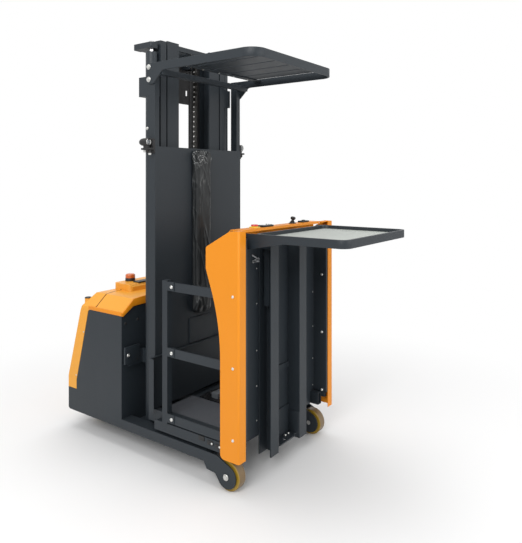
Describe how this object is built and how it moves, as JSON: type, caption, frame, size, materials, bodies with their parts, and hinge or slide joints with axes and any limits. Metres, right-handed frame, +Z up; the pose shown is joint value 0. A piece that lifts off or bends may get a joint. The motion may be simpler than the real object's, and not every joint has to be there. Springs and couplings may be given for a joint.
{
  "type": "order picker truck",
  "caption": "Stand-on order picker with a straddle chassis, two-stage mast, lifting operator cab with roof guard and side gates, and a load tray on its own small mast.",
  "frame": {"origin": "on the floor, under the middle of the truck's length and width", "axes": "+X forward towards the load tray, +Y to the operator's left, +Z up"},
  "size_m": [1.615, 0.78, 2],
  "materials": {
    "grey_paint": "satin",
    "orange_paint": "satin",
    "tyre_urethane": "satin",
    "tyre_black": "matte",
    "bright_steel": "satin",
    "chromed_rod": "polished",
    "chain_steel": "oiled",
    "beacon_red": "gloss",
    "black_plastic": "matte",
    "mat_rubber": "matte",
    "pad_cover": "gloss",
    "tray_rubber": "matte"
  },
  "bodies": {
    "truck": {"chassis": "grey_paint", "load_axles": "bright_steel", "drive_housing": "grey_paint", "hood": "orange_paint", "beacon": "beacon_red", "battery": "black_plastic", "outer_mast": "grey_paint", "lift_barrels": "grey_paint"},
    "load_wheel_right": {"load_wheel_right": "tyre_urethane"},
    "load_wheel_left": {"load_wheel_left": "tyre_urethane"},
    "drive_unit": {"drive_unit": "black_plastic"},
    "drive_wheel": {"drive_wheel": "tyre_black"},
    "caster_right": {"caster_fork_right": "grey_paint"},
    "caster_left": {"caster_fork_left": "grey_paint"},
    "caster_wheel_right": {"caster_wheel_right": "tyre_urethane"},
    "caster_wheel_left": {"caster_wheel_left": "tyre_urethane"},
    "inner_mast": {"inner_mast": "grey_paint", "lift_rods": "chromed_rod", "chain_wheel": "bright_steel", "lift_chain": "chain_steel"},
    "cab": {"platform": "grey_paint", "floor_mat": "mat_rubber", "foot_pedal": "black_plastic", "back_frame": "grey_paint", "carriage": "grey_paint", "back_panel": "grey_paint", "backrest_pad": "pad_cover", "kick_wall": "grey_paint", "overhead_guard": "grey_paint", "side_lamps": "black_plastic", "front_wall": "grey_paint", "side_panel_right": "orange_paint", "side_panel_left": "orange_paint", "console": "orange_paint", "controls": "black_plastic", "small_mast": "grey_paint", "gate_posts": "grey_paint"},
    "tray": {"tray_carriage": "grey_paint", "load_tray": "grey_paint", "tray_mat": "tray_rubber"},
    "gate_right_low": {"gate_rails_right_low": "grey_paint"},
    "gate_right_mid": {"gate_rails_right_mid": "grey_paint"},
    "gate_right_top": {"gate_rails_right_top": "grey_paint"},
    "gate_bar_right": {"gate_bar_right": "grey_paint"},
    "gate_left_low": {"gate_rails_left_low": "grey_paint"},
    "gate_left_mid": {"gate_rails_left_mid": "grey_paint"},
    "gate_left_top": {"gate_rails_left_top": "grey_paint"},
    "gate_bar_left": {"gate_bar_left": "grey_paint"}
  },
  "joints": [
    {"name": "load_wheel_right_roll", "type": "hinge", "parent": "truck", "child": "load_wheel_right", "pos_m": [0.2795, -0.332, 0.0625], "axis": [0, 1, 0], "continuous": true},
    {"name": "load_wheel_left_roll", "type": "hinge", "parent": "truck", "child": "load_wheel_left", "pos_m": [0.2795, 0.332, 0.0625], "axis": [0, 1, 0], "continuous": true},
    {"name": "drive_steer", "type": "hinge", "parent": "truck", "child": "drive_unit", "pos_m": [-0.5825, 0, 0.26], "axis": [0, 0, 1], "range_deg": [-90, 90]},
    {"name": "drive_roll", "type": "hinge", "parent": "drive_unit", "child": "drive_wheel", "pos_m": [-0.5825, 0, 0.105], "axis": [0, 1, 0], "continuous": true},
    {"name": "caster_right_swivel", "type": "hinge", "parent": "truck", "child": "caster_right", "pos_m": [-0.7025, -0.195, 0.16], "axis": [0, 0, 1], "continuous": true},
    {"name": "caster_right_roll", "type": "hinge", "parent": "caster_right", "child": "caster_wheel_right", "pos_m": [-0.7275, -0.195, 0.05], "axis": [0, 1, 0], "continuous": true},
    {"name": "caster_left_swivel", "type": "hinge", "parent": "truck", "child": "caster_left", "pos_m": [-0.7025, 0.195, 0.16], "axis": [0, 0, 1], "continuous": true},
    {"name": "caster_left_roll", "type": "hinge", "parent": "caster_left", "child": "caster_wheel_left", "pos_m": [-0.7275, 0.195, 0.05], "axis": [0, 1, 0], "continuous": true},
    {"name": "mast_lift", "type": "slide", "parent": "truck", "child": "inner_mast", "axis": [0, 0, 1], "range_m": [0, 1.06]},
    {"name": "cab_lift", "type": "slide", "parent": "inner_mast", "child": "cab", "axis": [0, 0, 1], "range_m": [0, 1.06], "deforming": ["lift_chain"]},
    {"name": "tray_lift", "type": "slide", "parent": "cab", "child": "tray", "axis": [0, 0, 1], "range_m": [-0.5, 0]},
    {"name": "gate_right_swing", "type": "hinge", "parent": "cab", "child": "gate_right_low", "pos_m": [0.3355, -0.364, 0.227], "axis": [0, 1, 0], "range_deg": [0, 45]},
    {"name": "gate_right_mid_pin", "type": "hinge", "parent": "cab", "child": "gate_right_mid", "pos_m": [0.3355, -0.364, 0.527], "axis": [0, 1, 0], "range_deg": [0, 45]},
    {"name": "gate_right_top_pin", "type": "hinge", "parent": "cab", "child": "gate_right_top", "pos_m": [0.3355, -0.364, 0.826], "axis": [0, 1, 0], "range_deg": [0, 45]},
    {"name": "gate_bar_right_pin", "type": "hinge", "parent": "gate_right_low", "child": "gate_bar_right", "pos_m": [-0.0345, -0.364, 0.227], "axis": [0, 1, 0], "range_deg": [-45, 0]},
    {"name": "gate_left_swing", "type": "hinge", "parent": "cab", "child": "gate_left_low", "pos_m": [0.3355, 0.364, 0.227], "axis": [0, 1, 0], "range_deg": [0, 45]},
    {"name": "gate_left_mid_pin", "type": "hinge", "parent": "cab", "child": "gate_left_mid", "pos_m": [0.3355, 0.364, 0.527], "axis": [0, 1, 0], "range_deg": [0, 45]},
    {"name": "gate_left_top_pin", "type": "hinge", "parent": "cab", "child": "gate_left_top", "pos_m": [0.3355, 0.364, 0.826], "axis": [0, 1, 0], "range_deg": [0, 45]},
    {"name": "gate_bar_left_pin", "type": "hinge", "parent": "gate_left_low", "child": "gate_bar_left", "pos_m": [-0.0345, 0.364, 0.227], "axis": [0, 1, 0], "range_deg": [-45, 0]}
  ],
  "couplings": [
    {"joint": "cab_lift", "follows": "mast_lift", "ratio": 1},
    {"joint": "gate_right_mid_pin", "follows": "gate_right_swing", "ratio": 1},
    {"joint": "gate_right_top_pin", "follows": "gate_right_swing", "ratio": 1},
    {"joint": "gate_bar_right_pin", "follows": "gate_right_swing", "ratio": -1},
    {"joint": "gate_left_mid_pin", "follows": "gate_left_swing", "ratio": 1},
    {"joint": "gate_left_top_pin", "follows": "gate_left_swing", "ratio": 1},
    {"joint": "gate_bar_left_pin", "follows": "gate_left_swing", "ratio": -1}
  ]
}
